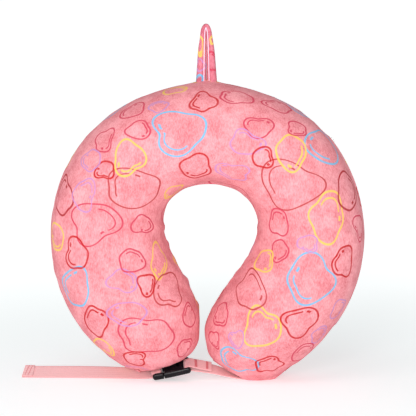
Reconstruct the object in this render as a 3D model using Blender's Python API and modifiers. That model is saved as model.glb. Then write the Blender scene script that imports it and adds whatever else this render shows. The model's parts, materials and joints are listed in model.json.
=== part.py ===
"""A U-shaped foam neck pillow standing on its two tips, with a hang loop, a zipped cover and a buckled strap.

Lengths are in metres, +Z is up, +Y points away from the front of the pillow, and +X is to the viewer's right.
The origin is on the ground, under the middle of the whole object, strap tail included.
"""

import math

import bmesh
import bpy
import numpy as np
from mathutils import Matrix, Vector

MM = 0.001

# Driving dimensions of the pillow. The ring centre is the centre of the round outer outline.
PILLOW_X = 16.4 * MM
RING_CENTRE = Vector((PILLOW_X, 0.0, 142.6 * MM))
OUTER_RADIUS = 150.2 * MM
SECTION_POINTS = 12
COVER_THICKNESS = 1.2 * MM
LINER_INSET = 3.6 * MM
LINER_THICKNESS = 0.6 * MM
FOAM_INSET = 4.8 * MM
SEAM_GAP = 0.3 * MM
ZIP_SEAM_GAP = 3.6 * MM

# Cross-sections from the left tip over the crown to the right tip, in millimetres from the ring centre:
# outer seam x, z, inner seam x, z, half depth, and fullness (2 is an ellipse, less is more pointed at the seam).
SECTIONS = (
    (-68.0, -132.0, -42.0, -129.5, 12.0, 1.7),
    (-85.0, -125.5, -23.5, -120.0, 29.0, 1.8),
    (-101.5, -112.5, -12.5, -108.0, 41.0, 1.95),
    (-118.0, -96.0, -9.5, -91.0, 47.5, 2.1),
    (-134.0, -72.0, -11.0, -70.0, 51.0, 2.15),
    (-146.0, -42.0, -21.0, -47.0, 52.0, 2.15),
    (-151.0, -10.0, -35.5, -20.0, 52.0, 2.15),
    (-149.5, 23.0, -44.5, 7.0, 52.0, 2.15),
    (-138.5, 61.0, -41.0, 31.0, 51.0, 2.15),
    (-114.0, 98.5, -27.0, 45.0, 50.0, 2.1),
    (-69.0, 131.5, -13.0, 50.5, 49.0, 2.1),
    (0.0, 148.0, 1.0, 52.0, 48.0, 2.1),
    (70.0, 131.0, 15.0, 50.5, 49.0, 2.1),
    (113.2, 98.7, 32.0, 44.0, 50.0, 2.1),
    (139.4, 56.0, 46.0, 29.0, 51.0, 2.15),
    (149.9, 10.0, 51.0, 7.0, 52.0, 2.15),
    (147.0, -31.0, 41.5, -20.5, 52.0, 2.15),
    (135.0, -66.0, 24.5, -44.5, 52.0, 2.15),
    (115.5, -96.5, 8.5, -68.0, 51.0, 2.15),
    (96.5, -116.5, -0.5, -90.0, 46.0, 2.05),
    (79.5, -129.5, 0.5, -106.5, 37.0, 1.9),
    (68.0, -140.5, 5.5, -120.5, 26.0, 1.9),
    (61.0, -147.5, 22.0, -133.0, 14.0, 1.9),
)

# Driving dimensions of the strap, the buckle and the zip.
WEBBING_WIDTH = 15.0 * MM
WEBBING_THICKNESS = 1.2 * MM
BUCKLE_CENTRE = Vector((PILLOW_X - 36.0 * MM, -1.0 * MM, 11.2 * MM))
BUCKLE_PITCH = math.radians(-11.0)
BUCKLE_ROLL = math.radians(26.0)
BUCKLE_LENGTH = 36.0 * MM
BUCKLE_WIDTH = 20.0 * MM
BUCKLE_THICKNESS = 5.8 * MM
SPLIT_X = -7.5 * MM
CLEARANCE = 0.3 * MM
ZIP_START = math.radians(41.0)
ZIP_END = math.radians(-34.0)
SLIDER_ANGLE = math.radians(37.5)
PULL_PIVOT_HEIGHT = 3.0 * MM
PULL_LEAN = math.radians(6.0)


def clear_scene():
    for obj in list(bpy.data.objects):
        bpy.data.objects.remove(obj, do_unlink=True)


def make_collection(name):
    collection = bpy.data.collections.new(name)
    bpy.context.scene.collection.children.link(collection)
    return collection


def principled(name, colour, roughness, metallic=0.0):
    material = bpy.data.materials.new(name)
    material.use_nodes = True
    shader = material.node_tree.nodes["Principled BSDF"]
    shader.inputs["Base Color"].default_value = (*colour, 1.0)
    shader.inputs["Roughness"].default_value = roughness
    shader.inputs["Metallic"].default_value = metallic
    material.diffuse_color = (*colour, 1.0)
    return material


def add_object(name, mesh, material, collection):
    obj = bpy.data.objects.new(name, mesh)
    mesh.materials.clear()
    mesh.materials.append(material)
    collection.objects.link(obj)
    return obj


def mesh_from_bmesh(name, bm):
    mesh = bpy.data.meshes.new(name)
    bmesh.ops.recalc_face_normals(bm, faces=bm.faces)
    bm.to_mesh(mesh)
    bm.free()
    return mesh


def evaluated_mesh(obj):
    """The object's mesh with its modifiers applied; the object itself is removed."""
    graph = bpy.context.evaluated_depsgraph_get()
    mesh = bpy.data.meshes.new_from_object(obj.evaluated_get(graph))
    bpy.data.objects.remove(obj, do_unlink=True)
    return mesh


def smooth(obj, angle=35.0):
    obj.data.shade_smooth()
    obj.data.set_sharp_from_angle(angle=math.radians(angle))


# --- The pillow's form -------------------------------------------------------------------------------


def section_ring(section):
    """Points round one cross-section, starting at the outer seam and passing the back first."""
    outer_x, outer_z, inner_x, inner_z, half_depth, fullness = section
    outer = Vector((outer_x, 0.0, outer_z)) * MM
    inner = Vector((inner_x, 0.0, inner_z)) * MM
    middle, half = (outer + inner) / 2, (outer - inner) / 2
    ring = []
    for k in range(SECTION_POINTS):
        angle = 2 * math.pi * k / SECTION_POINTS
        across = math.copysign(abs(math.cos(angle)) ** (2 / fullness), math.cos(angle))
        deep = math.copysign(abs(math.sin(angle)) ** (2 / fullness), math.sin(angle))
        ring.append(RING_CENTRE + middle + half * across + Vector((0, half_depth * MM * deep, 0)))
    return ring


def on_limit_surface(points):
    """Where Subdivision Surface moves the points of a tube of rings: the limit of a cubic B-spline both ways."""
    round_ring = (4 * points + np.roll(points, 1, axis=1) + np.roll(points, -1, axis=1)) / 6
    moved = round_ring.copy()
    moved[1:-1] = (4 * round_ring[1:-1] + round_ring[:-2] + round_ring[2:]) / 6
    return moved


def form_cage():
    """The coarse cage whose subdivided surface passes through the cross-sections."""
    wanted = np.array([section_ring(section) for section in SECTIONS])
    cage = wanted.copy()
    for _ in range(30):
        cage += wanted - on_limit_surface(cage)
    bm = bmesh.new()
    rings = [[bm.verts.new(point) for point in ring] for ring in cage]
    for ring, following in zip(rings, rings[1:]):
        for k in range(SECTION_POINTS):
            n = (k + 1) % SECTION_POINTS
            bm.faces.new((ring[k], ring[n], following[n], following[k]))
    half = SECTION_POINTS // 2
    for ring in (rings[0], rings[-1]):
        bm.faces.new(ring[: half + 1])
        bm.faces.new(ring[half:] + ring[:1])
    return mesh_from_bmesh("pillow_cage", bm)


def resting_height(x, y):
    """The height that the pillow's skin rests on at a place: the ground, or the tilted buckle under the left tip."""
    from_buckle = Vector((x, y, 0)) - BUCKLE_CENTRE
    slope_x, slope_y = math.tan(-BUCKLE_PITCH), math.tan(BUCKLE_ROLL)
    plane = BUCKLE_CENTRE.z + from_buckle.x * slope_x + from_buckle.y * slope_y
    plane += 0.5 * BUCKLE_THICKNESS / math.cos(BUCKLE_ROLL) + 3 * CLEARANCE
    past_side = max(0.0, -from_buckle.y - 8 * MM)
    past_end = max(0.0, abs(from_buckle.x) - 0.5 * BUCKLE_LENGTH - 4 * MM)
    return max(0.0, plane - 1.5 * past_side - 1.5 * past_end)


def pillow_form():
    """The closed outer surface of the pillow, flattened where it rests on the ground and on the buckle."""
    obj = bpy.data.objects.new("pillow_cage", form_cage())
    bpy.context.scene.collection.objects.link(obj)
    subdivision = obj.modifiers.new("round", "SUBSURF")
    subdivision.levels = subdivision.render_levels = 1
    mesh = evaluated_mesh(obj)
    for vertex in mesh.vertices:
        vertex.co.z = max(vertex.co.z, resting_height(vertex.co.x, vertex.co.y))
    return mesh


def inset_copy(form, inset):
    bm = bmesh.new()
    bm.from_mesh(form)
    bm.normal_update()
    for vertex, normal in [(v, v.normal.copy()) for v in bm.verts]:
        vertex.co -= normal * inset
    return bm


def seam_half_gap(point):
    """Half the opening between the front and back panels: wide along the zip, a stitched seam elsewhere."""
    from_centre = point - RING_CENTRE
    angle = math.atan2(from_centre.z, from_centre.x)
    at_outer_seam = from_centre.length > 0.8 * OUTER_RADIUS
    in_zip = ZIP_END - 0.02 < angle < ZIP_START + 0.02
    return ZIP_SEAM_GAP if at_outer_seam and in_zip else SEAM_GAP


def cover_panel(name, form, side, material, collection):
    """The front (side -1) or back (side +1) panel of the cover: half of the form, with its cut edge at the seam."""
    bm = inset_copy(form, 0.0)
    other_half = [face for face in bm.faces if face.calc_center_median().y * side < 0]
    bmesh.ops.delete(bm, geom=other_half, context="FACES")
    for vertex in bm.verts:
        if vertex.is_boundary:
            gap = seam_half_gap(vertex.co)
            vertex.co.y = side * gap
    obj = add_object(name, mesh_from_bmesh(name, bm), material, collection)
    thicken_inwards(obj, COVER_THICKNESS)


def thicken_inwards(obj, thickness):
    solidify = obj.modifiers.new("cloth", "SOLIDIFY")
    solidify.thickness = thickness
    solidify.offset = -1
    smooth(obj)


def inner_liner(form, material, collection):
    """The knitted bag round the foam, open along the slot through which the foam is put in."""
    bm = inset_copy(form, LINER_INSET)

    def in_slot(face):
        centre = face.calc_center_median() - RING_CENTRE
        angle = math.degrees(math.atan2(centre.z, centre.x))
        return -25 < angle < 32 and centre.length > 0.8 * OUTER_RADIUS and 0 < centre.y < 14 * MM

    bmesh.ops.delete(bm, geom=[face for face in bm.faces if in_slot(face)], context="FACES")
    obj = add_object("inner_liner", mesh_from_bmesh("inner_liner", bm), material, collection)
    thicken_inwards(obj, LINER_THICKNESS)


def foam_core(form, material, collection):
    bm = inset_copy(form, FOAM_INSET)
    smooth(add_object("foam_core", mesh_from_bmesh("foam_core", bm), material, collection))


# --- Webbing and loop --------------------------------------------------------------------------------


def smooth_route(stations, per_span=3):
    """Catmull-Rom stations through (x, y, z, and up to two more values) in millimetres and degrees."""
    rows = np.zeros((len(stations), 5))
    for row, station in zip(rows, stations):
        row[: len(station)] = station
    rows = np.vstack([2 * rows[0] - rows[1], rows, 2 * rows[-1] - rows[-2]])
    route = []
    for i in range(1, len(rows) - 2):
        a, b, c, d = rows[i - 1 : i + 3]
        for step in range(per_span):
            t = step / per_span
            route.append(
                0.5 * (2 * b + (c - a) * t + (2 * a - 5 * b + 4 * c - d) * t**2
                       + (3 * b - a - 3 * c + d) * t**3)
            )
    return np.vstack([route, rows[-2]])


def webbing(name, stations, material, collection, thickness=WEBBING_THICKNESS, width=WEBBING_WIDTH):
    """A flat strap along a route of (x, y, z, lean, pitch), leaning back from the ground and pitched with the buckle."""
    route = smooth_route(stations)
    bm = bmesh.new()
    rows = []
    for x, y, z, lean, pitch in route:
        across = Vector((0, math.cos(math.radians(lean)), math.sin(math.radians(lean))))
        across.rotate(Matrix.Rotation(math.radians(pitch), 3, "Y"))
        middle = Vector((PILLOW_X + x * MM, y * MM, z * MM))
        rows.append([bm.verts.new(middle + across * width * side) for side in (-0.5, 0.5)])
    for row, following in zip(rows, rows[1:]):
        bm.faces.new((row[0], row[1], following[1], following[0]))
    obj = add_object(name, mesh_from_bmesh(name, bm), material, collection)
    solidify = obj.modifiers.new("weave", "SOLIDIFY")
    solidify.thickness = thickness
    solidify.offset = 0
    return obj


def in_buckle(x, z):
    """A webbing station from a place in the buckle's own lengthways section, in millimetres."""
    place = buckle_matrix() @ Vector((x * MM, 0, z * MM)) - Vector((PILLOW_X, 0, 0))
    return (*(place / MM), math.degrees(BUCKLE_ROLL), math.degrees(BUCKLE_PITCH))


# The end of the right strap that is folded back over itself, from the socket's bar to its cut edge.
FOLDED_LEG = ((-6.0, -4.4, 15.2, 27.0), (4.0, -5.0, 13.4, 27.0))


def bar_tacks(material, collection):
    """Blocks of dense stitching across the folded strap end."""
    leg = np.array([in_buckle(19.5, 2.3)[:4], *FOLDED_LEG])
    lift = Vector((0, -math.sin(BUCKLE_ROLL), math.cos(BUCKLE_ROLL))) * 1.45
    for name, x in (("bar_tack_inner", -11.0), ("bar_tack_outer", 0.5)):
        ends = []
        for end in (x - 0.8, x, x + 0.8):
            y, z, lean = (np.interp(end, leg[:, 0], column) for column in leg[:, 1:].T)
            ends.append((end, y + lift.y, z + lift.z, lean))
        webbing(name, ends, material, collection, thickness=0.5 * MM, width=12.6 * MM)


def straps(material, collection):
    turn = [in_buckle(-11.7 + 2.1 * math.sin(a), 2.1 * math.cos(a)) for a in np.linspace(0.3, 2.84, 5)]
    webbing(
        "left_strap",
        [in_buckle(-19.5, 2.15), in_buckle(-15.0, 2.15), in_buckle(-12.8, 2.15), *turn,
         in_buckle(-12.8, -2.15), in_buckle(-15.0, -2.15), in_buckle(-19.0, -2.2),
         (-64.0, 2.0, 5.4, 30.0), (-76.0, 8.0, 5.6, 36.0), (-92.0, 14.0, 5.5, 39.0),
         (-120.0, 18.0, 5.6, 41.0), (-150.0, 20.0, 5.6, 41.0), (-182.0, 21.0, 5.6, 41.0)],
        material,
        collection,
    )
    bar = [in_buckle(15.3 - 2.1 * math.sin(a), -2.1 * math.cos(a)) for a in np.linspace(0.3, 2.84, 5)]
    webbing(
        "right_strap",
        [(45.0, 0.0, 1.2, 2.0), (38.0, 0.0, 1.9, 6.0), (28.0, -0.5, 4.0, 12.0), (17.0, -2.0, 7.3, 20.0),
         (6.0, -3.5, 10.6, 27.0), (-6.0, -3.0, 12.3, 27.0), in_buckle(19.5, -2.3),
         in_buckle(17.2, -2.15), *bar, in_buckle(17.2, 2.15), in_buckle(19.5, 2.3), *FOLDED_LEG],
        material,
        collection,
    )
    webbing(
        "tail_hem",
        [(-182.0, 19.9, 6.9, 41.0), (-177.0, 19.9, 6.9, 41.0), (-172.0, 19.8, 6.9, 41.0)],
        material,
        collection,
        thickness=0.9 * MM,
        width=14.6 * MM,
    )


def hang_loop(material, collection):
    """A folded band of the cover's fabric, sewn into the seam at the crown: two legs side by side."""
    crown = 290.9
    legs = ((-5.3, crown, 4.6), (-5.4, crown + 12, 4.4), (-4.9, crown + 32, 3.7), (-4.1, crown + 48, 3.2),
            (-2.9, crown + 54.0, 2.9), (-0.9, crown + 55.2, 2.7), (1.0, crown + 53.6, 2.9),
            (2.3, crown + 48, 3.2), (3.9, crown + 32, 3.7), (4.9, crown + 12, 4.4), (5.0, crown, 4.6))
    curve = bpy.data.curves.new("hang_loop", "CURVE")
    curve.dimensions = "3D"
    spline = curve.splines.new("POLY")
    route = smooth_route([(x, 0.0, z, radius) for x, z, radius in legs], per_span=2)
    spline.points.add(len(route) - 1)
    for point, (x, y, z, radius, _) in zip(spline.points, route):
        point.co = (PILLOW_X + x * MM, y * MM, z * MM, 1)
        point.radius = radius / 4.0
    curve.bevel_depth = 4.0 * MM
    curve.bevel_resolution = 2
    curve.use_fill_caps = True
    guide = bpy.data.objects.new("hang_loop_guide", curve)
    bpy.context.scene.collection.objects.link(guide)
    mesh = evaluated_mesh(guide)
    bm = bmesh.new()
    bm.from_mesh(mesh)
    bmesh.ops.remove_doubles(bm, verts=bm.verts, dist=0.001 * MM)
    smooth(add_object("hang_loop", mesh_from_bmesh("hang_loop", bm), material, collection))


# --- Buckle ------------------------------------------------------------------------------------------


def buckle_matrix():
    """The buckle's own frame: X from the tail to the right strap, Y across it, Z out of its broad face."""
    turn = Matrix.Rotation(BUCKLE_PITCH, 4, "Y") @ Matrix.Rotation(BUCKLE_ROLL, 4, "X")
    return Matrix.Translation(BUCKLE_CENTRE) @ turn


def box_mesh(name, low, high):
    """A box between two corners, given in millimetres."""
    low, high = Vector(low) * MM, Vector(high) * MM
    bm = bmesh.new()
    bmesh.ops.create_cube(bm, size=1.0)
    size = high - low
    bmesh.ops.scale(bm, vec=size, verts=bm.verts)
    bmesh.ops.translate(bm, vec=(low + high) / 2, verts=bm.verts)
    return mesh_from_bmesh(name, bm)


def add_bevel(obj, width, segments=2):
    bevel = obj.modifiers.new("rounded", "BEVEL")
    bevel.width = width
    bevel.segments = segments
    bevel.limit_method = "ANGLE"
    bevel.harden_normals = False


class Workshop:
    """Makes pieces and their cutters in one local frame."""

    def __init__(self, frame, parts, cutters):
        self.frame, self.parts, self.cutters = frame, parts, cutters

    def place(self, obj):
        obj.parent = self.frame
        return obj

    def block(self, name, low, high, material, bevel=0.0, segments=2):
        obj = self.place(add_object(name, box_mesh(name, low, high), material, self.parts))
        if bevel:
            add_bevel(obj, bevel, segments)
        return obj

    def combine(self, obj, name, low, high, operation="DIFFERENCE", bevel=0.0):
        other = self.place(bpy.data.objects.new(name, box_mesh(name, low, high)))
        self.cutters.objects.link(other)
        other.hide_render = True
        other.display_type = "WIRE"
        if bevel:
            add_bevel(other, bevel)
        boolean = obj.modifiers.new(name, "BOOLEAN")
        boolean.operation = operation
        boolean.object = other


def female_buckle(shop, material):
    """The socket half: a flat box with a channel, two side windows for the prongs and a slot for the strap."""
    half_width, half_thick = BUCKLE_WIDTH / 2 / MM, BUCKLE_THICKNESS / 2 / MM
    left, right = SPLIT_X / MM + 0.3, BUCKLE_LENGTH / 2 / MM
    body = shop.block("female_buckle", (left, -half_width, -half_thick), (right, half_width, half_thick),
                      material, bevel=2.2 * MM, segments=3)
    shop.combine(body, "socket_channel", (left - 1, -7.9, -1.7), (9.8, 7.9, 1.7))
    for side, name in ((-1, "near_window"), (1, "far_window")):
        low, high = sorted((side * 7.0, side * 12.0))
        shop.combine(body, name, (0.2, low, -1.7), (7.9, high, 1.7))
    shop.combine(body, "strap_slot", (11.2, -7.9, -4.0), (14.9, 7.9, 4.0))
    shop.combine(body, "bar_top_relief", (14.0, -7.9, 1.1), (19.0, 7.9, 4.0))
    shop.combine(body, "bar_under_relief", (14.0, -7.9, -4.0), (19.0, 7.9, -1.1))
    shop.combine(body, "face_window", (5.6, -2.6, 0.5), (9.0, 2.6, 4.0))
    return body


def male_buckle(shop, material):
    """The plug half: an adjuster frame for the strap with two bars, and a guide tongue."""
    half_width, half_thick = BUCKLE_WIDTH / 2 / MM, BUCKLE_THICKNESS / 2 / MM
    left, split = -BUCKLE_LENGTH / 2 / MM, SPLIT_X / MM
    body = shop.block("male_buckle", (left, -half_width, -half_thick), (split, half_width, half_thick),
                      material, bevel=2.2 * MM, segments=3)
    shop.combine(body, "rear_slot", (-16.2, -7.9, -4), (-14.3, 7.9, 4))
    shop.combine(body, "front_slot", (-12.3, -7.9, -4), (-8.6, 7.9, 4))
    shop.combine(body, "bars_top_relief", (-19, -7.9, 1.1), (-9.5, 7.9, 4))
    shop.combine(body, "bars_under_relief", (-19, -7.9, -4), (-9.5, 7.9, -1.1))
    shop.combine(body, "guide_tongue", (-8.2, -1.8, -1.2), (5.0, 1.8, 1.2), operation="UNION", bevel=0.4 * MM)
    return body


def prong(shop, name, side, material):
    """A springy arm of the plug with its release button, hinged where it leaves the adjuster frame."""
    pivot = Vector((SPLIT_X + 0.6 * MM, side * 5.3 * MM, 0.0))
    outline = ((-0.3, -0.8), (9.5, -0.6), (15.2, 0.4), (15.2, 1.3), (13.6, 4.2), (8.0, 4.2), (7.4, 3.6),
               (7.6, 1.2), (-0.3, 0.8))
    bm = bmesh.new()
    corners = [bm.verts.new((x * MM, side * y * MM, -1.3 * MM)) for x, y in outline]
    face = bm.faces.new(corners)
    raised = bmesh.ops.extrude_face_region(bm, geom=[face])["geom"]
    lifted = [item for item in raised if isinstance(item, bmesh.types.BMVert)]
    bmesh.ops.translate(bm, vec=(0, 0, 2.6 * MM), verts=lifted)
    obj = shop.place(add_object(name, mesh_from_bmesh(name, bm), material, shop.parts))
    obj.location = pivot
    add_bevel(obj, 0.3 * MM)


# --- Zip ---------------------------------------------------------------------------------------------


def zip_point(radius, y, angle):
    return RING_CENTRE + Vector((radius * math.cos(angle), y, radius * math.sin(angle)))


def arc_piece(name, profile, start, end, steps, material, collection):
    """A closed profile of (radius, y) swept round the ring centre from one angle to another."""
    bm = bmesh.new()
    face = bm.faces.new([bm.verts.new(zip_point(radius, y, start)) for radius, y in profile])
    geometry = [face, *face.edges, *face.verts]
    bmesh.ops.spin(bm, geom=geometry, cent=RING_CENTRE, axis=(0, 1, 0), angle=start - end, steps=steps,
                   use_duplicate=False)
    obj = add_object(name, mesh_from_bmesh(name, bm), material, collection)
    smooth(obj)
    return obj


def zip_fastener(tape, coil, metal, collection):
    section_radius = 60 * MM
    for side, name in ((-1, "front"), (1, "back")):
        depths = [0.5 * MM, 3.5 * MM, 6.5 * MM, 9.0 * MM]
        top = [(OUTER_RADIUS - 2.3 * MM - y * y / (2 * section_radius), side * y) for y in depths]
        under = [(radius - 0.45 * MM, y) for radius, y in reversed(top)]
        arc_piece(f"zip_tape_{name}", top + under, ZIP_START, ZIP_END, 26, tape, collection)
        near, far = side * 0.25 * MM, side * 2.2 * MM
        low, high = OUTER_RADIUS - 1.7 * MM, OUTER_RADIUS - 0.05 * MM
        teeth = [(low, near), (low, far), (high - 0.3 * MM, far), (high, (near + far) / 2), (high - 0.3 * MM, near)]
        arc_piece(f"zip_coil_{name}", teeth, ZIP_START, ZIP_END, 26, coil, collection)
    for name, angle in (("zip_top_stop", ZIP_START + 0.003), ("zip_bottom_stop", ZIP_END - 0.020)):
        low, high, half = OUTER_RADIUS - 1.2 * MM, OUTER_RADIUS + 0.3 * MM, 2.2 * MM
        profile = [(low, -half), (low, half), (high, half), (high, -half)]
        arc_piece(name, profile, angle + 0.017, angle, 1, metal, collection)


def zip_slider(metal, parts, cutters):
    """The slider's saddle over the coil with a bridge on it, and the pull that hangs from the bridge."""
    frame = bpy.data.objects.new("slider_frame", None)
    parts.objects.link(frame)
    turn = Matrix.Rotation(-SLIDER_ANGLE, 4, "Y")
    frame.matrix_world = Matrix.Translation(zip_point(OUTER_RADIUS, 0, SLIDER_ANGLE)) @ turn
    shop = Workshop(frame, parts, cutters)
    slider = shop.block("zip_slider", (0.35, -3.2, -4.3), (1.7, 3.2, 4.3), metal, bevel=0.35 * MM)
    for side, name in ((-1, "front_flange"), (1, "back_flange")):
        low, high = sorted((side * 2.6, side * 3.2))
        shop.combine(slider, name, (-1.1, low, -3.9), (0.8, high, 3.9), operation="UNION")
    shop.combine(slider, "bridge", (1.2, -0.9, -2.6), (4.4, 0.9, 2.6), operation="UNION", bevel=0.3 * MM)
    shop.combine(slider, "bridge_hole", (2.1, -2.0, -1.7), (3.7, 2.0, 1.7))
    pull = shop.block("zip_pull", (-0.45, -2.3, -16.5), (0.45, 2.3, 0.5), metal, bevel=0.3 * MM)
    shop.combine(pull, "pull_window", (-1.0, -1.35, -4.6), (1.0, 1.35, -0.5))
    for piece in (pull, bpy.data.objects["pull_window"]):
        piece.location = (PULL_PIVOT_HEIGHT, 0, 0)
        piece.rotation_euler.y = PULL_LEAN


def main():
    clear_scene()
    parts = make_collection("u_shaped_neck_pillow")
    cutters = make_collection("cutters")
    cutters.hide_render = True

    velour = principled("velour", (0.93, 0.42, 0.47), 0.95)
    knit = principled("knit", (0.86, 0.84, 0.81), 0.9)
    foam = principled("foam", (0.93, 0.86, 0.66), 0.9)
    woven = principled("webbing", (0.90, 0.52, 0.52), 0.8)
    black = principled("buckle", (0.02, 0.02, 0.025), 0.35)
    thread = principled("thread", (0.93, 0.62, 0.60), 0.7)
    tape = principled("zip_tape", (0.90, 0.50, 0.52), 0.85)
    coil = principled("zip_coil", (0.85, 0.42, 0.46), 0.45)
    nickel = principled("zip_metal", (0.72, 0.72, 0.72), 0.3, 1.0)

    form = pillow_form()
    cover_panel("front_cover", form, -1, velour, parts)
    cover_panel("back_cover", form, 1, velour, parts)
    inner_liner(form, knit, parts)
    foam_core(form, foam, parts)
    hang_loop(velour, parts)
    straps(woven, parts)

    buckle_frame = bpy.data.objects.new("buckle_frame", None)
    parts.objects.link(buckle_frame)
    buckle_frame.matrix_world = buckle_matrix()
    shop = Workshop(buckle_frame, parts, cutters)
    female_buckle(shop, black)
    male_buckle(shop, black)
    prong(shop, "near_prong", -1, black)
    prong(shop, "far_prong", 1, black)
    bar_tacks(thread, parts)

    zip_fastener(tape, coil, nickel, parts)
    zip_slider(nickel, parts, cutters)
    bpy.data.meshes.remove(form)


main()
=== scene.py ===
"""The looks of a U-shaped neck pillow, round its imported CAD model. Lengths are metres in the CAD's frame."""

import json
import math
import random

import bpy
import numpy as np
from mathutils import Matrix, Vector
from mathutils.bvhtree import BVHTree


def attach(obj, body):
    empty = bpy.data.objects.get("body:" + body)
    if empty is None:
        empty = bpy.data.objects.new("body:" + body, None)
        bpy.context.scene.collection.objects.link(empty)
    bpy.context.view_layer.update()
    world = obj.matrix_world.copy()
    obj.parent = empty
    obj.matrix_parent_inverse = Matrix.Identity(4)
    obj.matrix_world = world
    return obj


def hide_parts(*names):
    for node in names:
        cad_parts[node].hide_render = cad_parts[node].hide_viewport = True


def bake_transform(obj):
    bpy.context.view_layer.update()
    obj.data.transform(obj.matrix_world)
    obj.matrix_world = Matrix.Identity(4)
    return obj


MM = 0.001

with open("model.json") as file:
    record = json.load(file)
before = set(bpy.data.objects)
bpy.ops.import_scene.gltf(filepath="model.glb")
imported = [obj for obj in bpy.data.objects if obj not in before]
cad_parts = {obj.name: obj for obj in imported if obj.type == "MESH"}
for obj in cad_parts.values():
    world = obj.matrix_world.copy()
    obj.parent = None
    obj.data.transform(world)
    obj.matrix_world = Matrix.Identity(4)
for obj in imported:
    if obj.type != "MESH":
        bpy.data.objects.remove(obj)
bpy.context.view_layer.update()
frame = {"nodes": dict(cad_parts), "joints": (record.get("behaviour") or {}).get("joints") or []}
NODES = frame["nodes"]

# --- Places that the CAD model settles ---

JOINTS = {joint["name"]: joint for joint in frame["joints"]}
RING_CENTRE = Vector(JOINTS["zip_run"]["pos_m"])
PILLOW_X = RING_CENTRE.x
OUTER_RADIUS = 150.2 * MM
BUCKLE_NODES = ("female_buckle", "male_buckle", "near_prong", "far_prong")
BUCKLE_CENTRE = Vector((PILLOW_X - 36.0 * MM, -1.0 * MM, 11.2 * MM))
BUCKLE_PITCH = math.radians(-11.0)
BUCKLE_ROLL = math.radians(26.0)
ZIP_START, ZIP_END = math.radians(41.0), math.radians(-34.0)

# Cross-sections from the left tip over the crown to the right tip, in millimetres from the ring centre:
# outer seam x, z, inner seam x, z, half depth, and fullness (2 is an ellipse, less is more pointed).
SECTIONS = np.array((
    (-68.0, -132.0, -42.0, -129.5, 12.0, 1.7),
    (-85.0, -125.5, -23.5, -120.0, 29.0, 1.8),
    (-101.5, -112.5, -12.5, -108.0, 41.0, 1.95),
    (-118.0, -96.0, -9.5, -91.0, 47.5, 2.1),
    (-134.0, -72.0, -11.0, -70.0, 51.0, 2.15),
    (-146.0, -42.0, -21.0, -47.0, 52.0, 2.15),
    (-151.0, -10.0, -35.5, -20.0, 52.0, 2.15),
    (-149.5, 23.0, -44.5, 7.0, 52.0, 2.15),
    (-138.5, 61.0, -41.0, 31.0, 51.0, 2.15),
    (-114.0, 98.5, -27.0, 45.0, 50.0, 2.1),
    (-69.0, 131.5, -13.0, 50.5, 49.0, 2.1),
    (0.0, 148.0, 1.0, 52.0, 48.0, 2.1),
    (70.0, 131.0, 15.0, 50.5, 49.0, 2.1),
    (113.2, 98.7, 32.0, 44.0, 50.0, 2.1),
    (139.4, 56.0, 46.0, 29.0, 51.0, 2.15),
    (149.9, 10.0, 51.0, 7.0, 52.0, 2.15),
    (147.0, -31.0, 41.5, -20.5, 52.0, 2.15),
    (135.0, -66.0, 24.5, -44.5, 52.0, 2.15),
    (115.5, -96.5, 8.5, -68.0, 51.0, 2.15),
    (96.5, -116.5, -0.5, -90.0, 46.0, 2.05),
    (79.5, -129.5, 0.5, -106.5, 37.0, 1.9),
    (69.0, -138.0, 5.0, -119.5, 24.0, 1.85),
    (58.5, -146.5, 20.5, -131.0, 9.0, 1.7),
))


# --- Small tools ---


def catmull_rom(rows, places):
    """Values at fractional row numbers on a smooth curve through the rows."""
    rows = np.asarray(rows, float)
    padded = np.vstack([2 * rows[0] - rows[1], rows, 2 * rows[-1] - rows[-2]])
    i = np.clip(np.floor(places).astype(int), 0, len(rows) - 2)
    t = (np.asarray(places, float) - i)[:, None]
    a, b, c, d = (padded[i + k] for k in range(4))
    return 0.5 * (2 * b + (c - a) * t + (2 * a - 5 * b + 4 * c - d) * t**2 + (3 * b - a - 3 * c + d) * t**3)


def new_object(name, points, faces, material=None):
    mesh = bpy.data.meshes.new(name)
    mesh.from_pydata([tuple(p) for p in points], [], [tuple(f) for f in faces])
    mesh.update()
    obj = bpy.data.objects.new(name, mesh)
    bpy.context.scene.collection.objects.link(obj)
    if material:
        mesh.materials.append(material)
    mesh.shade_smooth()
    return obj


def grid_faces(index, closed=True):
    """Quads between neighbouring rows and columns of vertex numbers; closed joins last column and first."""
    following = np.roll(index, -1, axis=1)
    if not closed:
        index, following = index[:, :-1], following[:, :-1]
    corners = (index[:-1], index[1:], following[1:], following[:-1])
    return np.stack(corners, axis=-1).reshape(-1, 4).tolist()


def numbered(rows, columns):
    return np.arange(rows * columns).reshape(rows, columns)


def read(items, name):
    """A vector property of every item, such as each vertex's place."""
    values = np.empty(len(items) * 3)
    items.foreach_get(name, values)
    return values.reshape(-1, 3)


def evaluated_points(obj):
    evaluated = obj.evaluated_get(bpy.context.evaluated_depsgraph_get())
    points = read(evaluated.to_mesh().vertices, "co")
    evaluated.to_mesh_clear()
    return points


def grid_normals(points):
    """Normals of a grid of rings, pointing out of the tube."""
    along = np.gradient(points, axis=0)
    around = np.roll(points, -1, axis=1) - np.roll(points, 1, axis=1)
    normals = np.cross(around, along)
    length = np.linalg.norm(normals, axis=2, keepdims=True)
    return normals / np.maximum(length, 1e-12)


def wave_noise(points, wavelength, seed):
    """Smooth seeded noise from a sum of plane waves, about -1 to 1."""
    rng = np.random.default_rng(seed)
    total = np.zeros(points.shape[:-1])
    for _ in range(14):
        direction = rng.normal(size=3)
        direction *= rng.uniform(0.6, 1.4) / np.linalg.norm(direction)
        total += np.sin(points @ direction * (2 * math.pi / wavelength) + rng.uniform(0, 2 * math.pi))
    return total / 5.0


# --- Shader tools ---


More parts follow.
